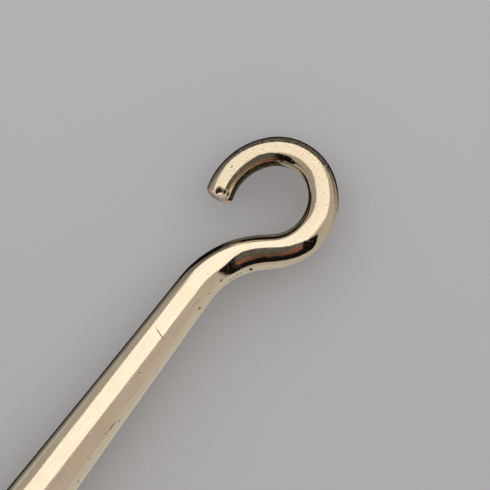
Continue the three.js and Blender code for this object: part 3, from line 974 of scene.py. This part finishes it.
def fill_plate(bm, levels, loops):
    """Walls along closed loops, through levels of (inset, height), and a lid at each end."""
    rims = {0: [], 1: []}
    for index, loop in enumerate(loops):
        # Loops are turned so that the plate's material is on the left of each.
        wanted = 1 if index == 0 else -1
        if area_of(loop) * wanted < 0:
            loop = loop[::-1]
        rings = []
        for inset, z in levels:
            rings.append([bm.verts.new((x, y, z)) for x, y in offset(loop, inset)])
        count = len(loop)
        for a, b in zip(rings, rings[1:]):
            for i in range(count):
                j = (i + 1) % count
                bm.faces.new((a[i], a[j], b[j], b[i]))
        rims[0].append(rings[0])
        rims[1].append(rings[-1])
    for rings in rims.values():
        edges = []
        for ring in rings:
            edges += [bm.edges.get((ring[i], ring[(i + 1) % len(ring)])) for i in range(len(ring))]
        bmesh.ops.triangle_fill(bm, edges=edges, use_beauty=True)
    bmesh.ops.recalc_face_normals(bm, faces=bm.faces)


def scraper_plate():
    """The spring-steel plate, with its holes and its blade ground to a bevel from above."""
    holes = [nail_slot()]
    holes += [circle(x, 0, NUT_BARREL + GAP) for x in SCREW_X.values()]
    holes.append(circle(FERRULE_PIN_X, 0, FERRULE_PIN_RADIUS + GAP))
    for y in (-BOLSTER_PIN_Y, BOLSTER_PIN_Y):
        holes.append(circle(BOLSTER_PIN_X, y, BOLSTER_PIN_RADIUS + GAP))
    made = rounded_plate("plate", plate_outline(), holes, -PLATE_FACE, PLATE_FACE, PLATE_EDGE)
    heel = BLADE_EDGE_X + BEVEL_LENGTH
    with editing(made.data) as bm:
        everything = bm.verts[:] + bm.edges[:] + bm.faces[:]
        bmesh.ops.bisect_plane(bm, geom=everything, plane_co=(heel, 0, 0), plane_no=(1, 0, 0))
        for face in bm.faces:
            if face.calc_center_median().x < heel and face.normal.z > 0.9:
                face.material_index = 1
        for v in bm.verts:
            if v.co.x < heel:
                share = (heel - v.co.x) / BEVEL_LENGTH
                keep = 1 - (1 - EDGE_SHARE) * share
                v.co.z = -PLATE_FACE + (v.co.z + PLATE_FACE) * keep
    into_frame(made.data)
    stand_for(made, "scraper_plate", spring_steel(), ground_steel(), smooth_angle=60)
    for edge in made.data.edges:
        ends = [made.data.vertices[v].co.x / MM for v in edge.vertices]
        if max(abs(x - heel) for x in ends) < 0.01:
            edge.use_edge_sharp = True


# Ferrule and fasteners ----


def front_ferrule():
    """The turned ferrule: grooved outside, and bored for the tenon and then for the bar."""
    rear, front = FERRULE_LOW.x, FERRULE_HIGH.x
    outer, nose, bore = FERRULE_OUTER, FERRULE_NOSE, FERRULE_BORE
    groove = outer - FERRULE_GROOVE
    cup = TENON_RADIUS + GAP
    step = TENON_FRONT + 2 * GAP
    corners = [(cup, rear), (outer - 0.1, rear), (outer, rear + 3.0)]
    corners += [(groove, rear + 3.4), (groove, rear + 3.9)]
    corners += [(outer, rear + 4.3), (outer, rear + 7.6), (nose + 0.4, rear + 11.6)]
    corners += [(nose, front - 1.6), (nose, front), (bore, front), (bore, step), (cup, step)]
    ring = turned("ferrule", rounded(corners, FERRULE_EDGE), 144)
    carve(ring, [cylinder(FERRULE_PIN_X, 0, FERRULE_PIN_RADIUS + PIN_FIT, -FAR, FAR)])
    into_frame(ring.data)
    stand_for(ring, "front_ferrule", turned_nickel(), smooth_angle=35)


def peg(node, x, y, radius, surface, material, ease=0.12):
    """A pin filed flush at both ends with a surface that gives the half-height at a place."""
    top = 1.0  # half the pin's height before its ends move out to the surface
    profile = [(0, -top), (radius / 2, -top), (radius - ease, -top), (radius, -top + ease)]
    profile += [(r, -z) for r, z in reversed(profile)]
    made = spun(node, profile, 48)
    for v in made.data.vertices:
        inset = top - abs(v.co.z)
        v.co.x += x
        v.co.y += y
        v.co.z = math.copysign(surface(v.co.x, v.co.y) - inset, v.co.z)
    into_frame(made.data)
    stand_for(made, node, material)


def ferrule_top(_, y):
    """Height of the ferrule pin's ends above the middle plane, a little inside the ferrule's skin."""
    return math.sqrt((FERRULE_OUTER - 0.3) ** 2 - y**2)


def fastener(node, profile, slot_from, slot_to, x, material):
    """A slotted head on a shank, standing on its own axis so that its turning marks centre there."""
    made = spun(node, profile)
    half = SCREW_SLOT / 2
    carve(made, [block((-half, half), (-FAR, FAR), (slot_from, slot_to))])
    made.data.transform(Matrix.Scale(MM, 4))
    made.location = (x * MM, 0, MIDDLE)
    stand_for(made, node, material, smooth_angle=30)


def head_edge(outer, height, inward):
    """The eased rim of a screw's head, up to the face at height, or down to it where inward is -1."""
    middle = (outer - 0.1, height - 0.12 * inward)
    return [(outer, height - 0.35 * inward), middle, (outer - 0.35, height)]


def handle_screw(place, x, material):
    """A slotted screw, from above."""
    top = HALF_THICKNESS - SCREW_RECESS
    under = top - SCREW_HEAD_HEIGHT
    low = under - SCREW_LENGTH
    profile = [(0, low), (SCREW_SHANK - 0.5, low), (SCREW_SHANK, low + 0.6), (SCREW_SHANK, under)]
    profile += [(SCREW_HEAD, under), *head_edge(SCREW_HEAD, top, 1), (0, top)]
    fastener(f"handle_screw_{place}", profile, top - SLOT_DEPTH, FAR, x, material)


def sleeve_nut(place, x, material):
    """A slotted sleeve nut, from below, bored to take the screw."""
    bottom = -HALF_THICKNESS + NUT_RECESS
    shoulder = bottom + SCREW_HEAD_HEIGHT
    profile = [(0, bottom), *reversed(head_edge(SCREW_HEAD, bottom, -1)), (SCREW_HEAD, shoulder)]
    profile += [(NUT_BARREL, shoulder), (NUT_BARREL, NUT_TOP), (NUT_BORE, NUT_TOP)]
    profile += [(NUT_BORE, NUT_TOP - NUT_BORE_DEPTH), (0, NUT_TOP - NUT_BORE_DEPTH)]
    fastener(f"sleeve_nut_{place}", profile, -FAR, bottom + SLOT_DEPTH, x, material)


# Stage: camera, floor, light ----

BAR_ANGLE = math.radians(52.75)  # how far the bar leans from the picture's horizontal
VIEW_CENTRE = Vector((0.14895, -0.00366, MIDDLE))
VIEW_WIDTH = 137.2 * MM
CAMERA_DISTANCE = 0.6
SENSOR = 36.0
PICTURE_RIGHT = Vector((math.cos(BAR_ANGLE), -math.sin(BAR_ANGLE), 0))
PICTURE_UP = Vector((math.sin(BAR_ANGLE), math.cos(BAR_ANGLE), 0))


def make_camera():
    """Looks straight down on the hook, turned so that the bar leans as in the photograph."""
    data = bpy.data.cameras.new("camera")
    data.sensor_width = SENSOR
    data.lens = SENSOR * CAMERA_DISTANCE / VIEW_WIDTH
    camera = bpy.data.objects.new("camera", data)
    camera.location = VIEW_CENTRE + Vector((0, 0, CAMERA_DISTANCE))
    camera.rotation_euler = (0, 0, -BAR_ANGLE)
    bpy.context.scene.collection.objects.link(camera)
    bpy.context.scene.camera = camera


FLOOR_HALF = 4.0  # metres
FLOOR_DROP = 0.0001  # metres below the tool, whose flats would lie in the floor's own plane
FLOOR_COLOUR = (0.475, 0.488, 0.505)
# Tint of the floor's painted reflection in metal.
FLOOR_GLOW = (1.0, 0.97, 0.94)


def floor_glow(s, where):
    """How bright the floor's painted reflection is at each place on the floor, given in metres, with
    painted shade beside the bar.
    """
    middle_up = VIEW_CENTRE.dot(PICTURE_UP)
    parts = s.node("SeparateXYZ", Vector=where)
    x, y = parts.outputs["X"], parts.outputs["Y"]
    towards_top = s.ramp(s.along(where, PICTURE_UP), middle_up - 0.045, middle_up + 0.075, 0.60, 0.14)
    towards_handle = s.ramp(x, 0.115, 0.150, 0.44, 0.0)
    # Painted shade: the floor's reflection darkened close beside the bar.
    shade_beside_bar = s.times(s.ramp(y, 0.0, 0.008), s.ramp(y, 0.014, 0.060, 0.80, 0.0))
    return s.times(s.math("MAXIMUM", towards_top, towards_handle), s.rest(shade_beside_bar))


def make_floor():
    """A plain pale floor. Seen from below it is clear, so that the underside can be looked at.

    Metal sees it not as lit but as a painted reflection, a glow that dims towards the picture's top,
    with painted shade close beside the bar.
    """
    corners = [(x * FLOOR_HALF, y * FLOOR_HALF, 0) for x, y in ((-1, -1), (1, -1), (1, 1), (-1, 1))]
    floor = make_object("floor", corners, [(0, 1, 2, 3)])
    floor.location.z = -FLOOR_DROP
    s = Shader("floor", Roughness=0.9, Specular_IOR_Level=0.1)
    glow = floor_glow(s, s.node("TexCoord").outputs["Object"])
    # The floor's painted reflection, which glossy rays see in place of its lit colour.
    mirrored = s.node("Emission", Color=s.mix(1.0, FLOOR_GLOW, glow, "MULTIPLY"))
    grain = s.ramp(s.noise(s.place(), 1.4, 3.0), 0.2, 0.8, 0.97, 1.0)
    s.set(Base_Color=s.mix(1.0, FLOOR_COLOUR, grain, "MULTIPLY"))
    ray = s.node("LightPath")
    top = s.blend(ray.outputs["Is Glossy Ray"], s.surface, mirrored)
    below = s.node("NewGeometry").outputs["Backfacing"]
    clear = s.math("MAXIMUM", below, ray.outputs["Is Shadow Ray"])
    s.finish(s.blend(clear, top, s.node("BsdfTransparent")))
    floor.data.materials.append(s.material)


# Glowing cards beside the bar, hidden from the camera, from diffuse light and from shadows, which
# paint reflections into the metal: dark but for one bright line. Each is given by the stretch of
# the bar in which the camera sees it mirrored: distance along, then the first and last angle round
# from the top towards -Y.
NECK_CARD = [
    (102.0, 11, 14),
    (104.3, 5, 38),
    (106.0, -1, 45),
    (107.5, -7, 45),
    (110.0, -14, 40),
    (115.0, -16, 35),
    (120.0, -14, 36),
    (125.0, -4, 46),
    (127.3, 5, 51),
    (129.0, 13, 40),
    (130.7, 21, 24),
]
HOOK_CARD = [
    (154.4, -34, -31),
    (155.2, -45, -26),
    (156.5, -44, -18),
    (160.0, -34, -12),
    (163.0, -28, -4),
    (166.0, -27, -3),
    (170.0, -28, -9),
    (174.0, -30, -12),
    (180.0, -29, -12),
]
INSIDE_LINE = [
    (8.0, -94, -71),
    (88.0, -94, -71),
    (94.0, -92, -64),
    (98.0, -92, -55),
    (103.0, -92, -52),
    (106.0, -92, -56),
    (109.0, -90, -65),
    (127.0, -88, -66),
    (133.0, -80, -61),
    (140.0, -67, -54),
    (146.0, -59, -48),
    (150.0, -52, -45),
    (151.0, -49, -46),
]
NECK_LINE = [
    (106.0, -58, -54),
    (112.0, -58, -51),
    (120.0, -58, -50),
    (130.0, -58, -54),
]
HOOK_LINE = [
    (161.5, -40, -38),
    (164.0, -42, -36),
    (172.0, -43, -36),
    (180.0, -45, -38),
    (184.0, -47, -41),
]
OUTSIDE_SHADE = [
    (137.0, 76, 94),
    (143.0, 62, 94),
    (147.0, 52, 94),
    (148.5, 38, 94),
    (158.0, 36, 94),
    (167.0, 39, 94),
    (170.0, 44, 94),
    (172.0, 58, 94),
    (180.5, 68, 94),
]


def on_bar(along, angle):
    """A point on the bar, in millimetres, and the way the surface faces there."""
    x, y, heading = bar_place(along)
    side = Vector((math.sin(heading), -math.cos(heading), 0))
    facing = Vector((0, 0, math.cos(angle))) + side * math.sin(angle)
    return Vector((x, y, 0)) + facing * bar_radius(along), facing


def mirrored_card(name, rows, distance, look):
    """A glowing card, a painted reflection, at a distance in millimetres from the bar, where the
    camera sees it mirrored in rows.
    """
    eye = Vector((VIEW_CENTRE.x, VIEW_CENTRE.y, CAMERA_DISTANCE)) / MM
    places, first, last = zip(*rows)
    stations, steps = 80, 12
    vertices, where = [], []
    for along in np.linspace(places[0], places[-1], stations):
        low, high = np.interp(along, places, first), np.interp(along, places, last)
        for angle in np.linspace(low, high, steps):
            point, facing = on_bar(along, math.radians(angle))
            sight = (point - eye).normalized()
            vertices.append(point + sight.reflect(facing) * distance)
            where.append((along, angle, (angle - low) / (high - low)))
    faces = []
    for row in range(stations - 1):
        for i in range(row * steps, (row + 1) * steps - 1):
            faces.append((i, i + 1, i + 1 + steps, i + steps))
    card = make_object(name, vertices, faces)
    into_frame(card.data)
    card.data.attributes.new("card", "FLOAT_VECTOR", "POINT")
    card.data.attributes["card"].data.foreach_set("vector", np.array(where, np.float32).ravel())
    card.data.materials.append(look)
    card.visible_camera = card.visible_diffuse = card.visible_shadow = False
    card.visible_transmission = card.visible_volume_scatter = False


def card_look(name, colour_from):
    """A painted reflection's glow, whose colour depends on where the card is mirrored.

    That is along the bar, degrees round it, and the share of the card's width from its first angle.
    """
    s = Shader(name)
    parts = s.node("SeparateXYZ", Vector=s.attribute("card").outputs["Vector"]).outputs
    glow = s.node("Emission", Color=colour_from(s, parts["X"], parts["Y"], parts["Z"]))
    s.finish(glow)
    return s.material


# Colours of the painted reflections and highlights that the cards show in the metal.
CARD_BLACK = (0.006, 0.006, 0.006)
CARD_GREY = (0.13, 0.13, 0.125)
CARD_TAN = (0.20, 0.18, 0.155)
CARD_CREAM = (1.0, 0.90, 0.66)
CARD_SMOKE_DARK = (0.075, 0.072, 0.068)
CARD_SMOKE_PALE = (0.17, 0.165, 0.155)
CARD_SHADE_DARK = (0.030, 0.029, 0.030)
CARD_SHADE_PALE = (0.33, 0.31, 0.30)
CARD_BROWN = (0.35, 0.145, 0.092)
CARD_DULL_BROWN = (0.135, 0.074, 0.054)


NECK_MIDDLE = 116.6  # distance along the bar at which the neck's brown crescent is widest


def neck_colours(s, along, angle, _):
    """Grey at the top, a ragged brown crescent under it, and black below and at both ends."""
    place = s.pair(along, s.times(angle, 0.14))
    ragged = s.noise(place, 0.5, 4.0, 0.65)
    fine = s.noise(place, 1.7, 3.0, 0.6)
    level = s.shifted(angle, ragged, 30.0)
    reach = s.math("ABSOLUTE", s.math("SUBTRACT", along, NECK_MIDDLE))
    reach = s.shifted(reach, ragged, 7.0)
    level = s.line(s.ramp(reach, 1.0, 9.0), -9.0, level)
    grey = s.mix(s.ramp(fine, 0.38, 0.66), CARD_SMOKE_DARK, CARD_SMOKE_PALE)
    brown = s.mix(s.ramp(reach, 3.0, 8.0), CARD_DULL_BROWN, CARD_BROWN)
    brown = s.mix(s.ramp(fine, 0.42, 0.62), brown, CARD_DULL_BROWN)
    colour = s.mix(s.ramp(level, -1.0, 6.0), grey, brown)
    colour = s.mix(s.ramp(level, 13.0, 18.0), colour, CARD_BLACK)
    return s.mix(s.ramp(reach, 8.8, 10.0), colour, CARD_BLACK)


def hook_colours(s, along, angle, _):
    """Black at the hook's crown, then dull grey towards its end with a brown inner edge."""
    ragged = s.noise(s.pair(along, s.times(angle, 0.1)), 0.8, 3.0)
    level = s.shifted(angle, ragged, 12.0)
    colour = s.mix(s.ramp(level, -28.0, -23.0), CARD_BROWN, CARD_GREY)
    far = s.shifted(along, ragged, 3.0)
    return s.mix(s.ramp(far, 160.5, 163.0), CARD_BLACK, colour)


def line_colours(s, along, angle, _):
    """A thin line, brown at the hook's crown and bright towards its end."""
    ragged = s.noise(s.pair(along, s.times(angle, 0.1)), 0.9, 3.0)
    far = s.shifted(along, ragged, 8.0)
    return s.mix(s.ramp(far, 165.0, 170.0), CARD_BROWN, CARD_CREAM)


def shade_colours(s, along, angle, _):
    """Mottled grey-brown that blackens to the bar's edge."""
    spot = s.noise(s.pair(along, s.times(angle, 0.12)), 1.6, 4.0, 0.7)
    colour = s.mix(s.ramp(spot, 0.40, 0.66), CARD_SHADE_DARK, CARD_SHADE_PALE)
    return s.mix(s.ramp(angle, 56.0, 68.0), colour, CARD_BLACK)


def inside_colours(s, along, _, share):
    """Black at the bar's edge, softening to a dull tan round the neck."""
    neck = s.times(s.ramp(along, 104.0, 110.0), s.ramp(along, 128.0, 136.0, 1.0, 0.0))
    ragged = s.noise(s.pair(along, share), 1.1, 3.0, 0.6)
    inner = s.ramp(s.line(ragged, 0.3, share), 0.62, 0.86)
    return s.mix(s.times(neck, inner), CARD_BLACK, CARD_TAN)


def black(*_):
    return (*CARD_BLACK, 1.0)


def make_cards():
    """The glowing cards that paint reflections, each with its own distance from the bar in
    millimetres.
    """
    for name, rows, distance, colour_from in (
        ("neck_card", NECK_CARD, 15.0, neck_colours),
        ("hook_card", HOOK_CARD, 4.5, hook_colours),
        ("inside_line", INSIDE_LINE, 2.5, inside_colours),
        ("neck_line", NECK_LINE, 2.5, black),
        ("hook_line", HOOK_LINE, 2.5, line_colours),
        ("outside_shade", OUTSIDE_SHADE, 3.5, shade_colours),
    ):
        mirrored_card(name, rows, distance, card_look(name, colour_from))


AREA_LIGHT_FACTOR = 2.5  # watts in a square metre of lamp for one unit of radiance


LAMP_DISTANCE = 0.6


def make_softbox(name, tilt, size, radiance, colour=(1.0, 1.0, 1.0)):
    """A soft panel aimed at the hook, tilted in degrees from overhead towards the picture's top."""
    data = bpy.data.lights.new(name, "AREA")
    data.shape = "RECTANGLE"
    data.size, data.size_y = size
    data.energy = radiance * AREA_LIGHT_FACTOR * size[0] * size[1]
    data.color = colour
    light = bpy.data.objects.new(name, data)
    lean = math.radians(tilt)
    direction = Vector((0, 0, math.cos(lean))) + PICTURE_UP * math.sin(lean)
    light.location = VIEW_CENTRE + direction * LAMP_DISTANCE
    z_axis = direction.normalized()
    y_axis = z_axis.cross(PICTURE_RIGHT).normalized()
    x_axis = y_axis.cross(z_axis)
    light.rotation_euler = Matrix((x_axis, y_axis, z_axis)).transposed().to_euler()
    light.visible_camera = False
    bpy.context.scene.collection.objects.link(light)
    return light


def make_under_light():
    """A weak lamp below the floor, which lets its light through, for looking at the underside."""
    below = make_softbox("under_light", 180, (1.0, 1.0), 0.35)
    below.visible_glossy = False


WALLS_LEFT = (0.44, 0.405, 0.395)  # in the picture
WALLS_RIGHT = (0.585, 0.525, 0.50)
ROOM_SEEN = (0.62, 0.62, 0.62)


def make_world():
    """Dim warm walls for the metal to reflect. The camera sees them as a plain pale room."""
    world = bpy.data.worlds.new("room")
    bpy.context.scene.world = world
    n = Nodes(world)
    across = n.along(n.node("TexCoord").outputs["Generated"], PICTURE_RIGHT)
    share = n.node("MapRange", Value=across, From_Min=-1.0, From_Max=1.0).outputs["Result"]
    walls = n.mix(share, WALLS_LEFT, WALLS_RIGHT)
    seen = n.node("LightPath").outputs["Is Camera Ray"]
    n.put(n.first("BACKGROUND").inputs["Color"], n.mix(seen, walls, ROOM_SEEN))


# Everything ----

make_camera()
make_floor()
make_cards()
make_world()
make_softbox("softbox", 34.5, (1.62, 1.22), 1.04, (1.0, 0.995, 0.985))
make_under_light()

nickel = turned_nickel()
brass_look = brass()
pin_look = pin_steel()
hook_bar()
scraper_plate()
scale_half("upper_scale", 1, walnut("walnut_upper", (-34, -46), 0.0))
scale_half("lower_scale", -1, walnut("walnut_lower", (28, 52), 7.0))
front_ferrule()
bolster("upper_bolster", 1, nickel)
bolster("lower_bolster", -1, nickel)
peg("ferrule_pin", FERRULE_PIN_X, 0, FERRULE_PIN_RADIUS, ferrule_top, brass_look)
for pin_side, pin_y in (("left", BOLSTER_PIN_Y), ("right", -BOLSTER_PIN_Y)):
    peg(f"bolster_pin_{pin_side}", BOLSTER_PIN_X, pin_y, BOLSTER_PIN_RADIUS, bolster_top, pin_look)
for screw_place, screw_x in SCREW_X.items():
    handle_screw(screw_place, screw_x, brass_look)
    sleeve_nut(screw_place, screw_x, brass_look)

bpy.context.scene.view_settings.view_transform = "Standard"
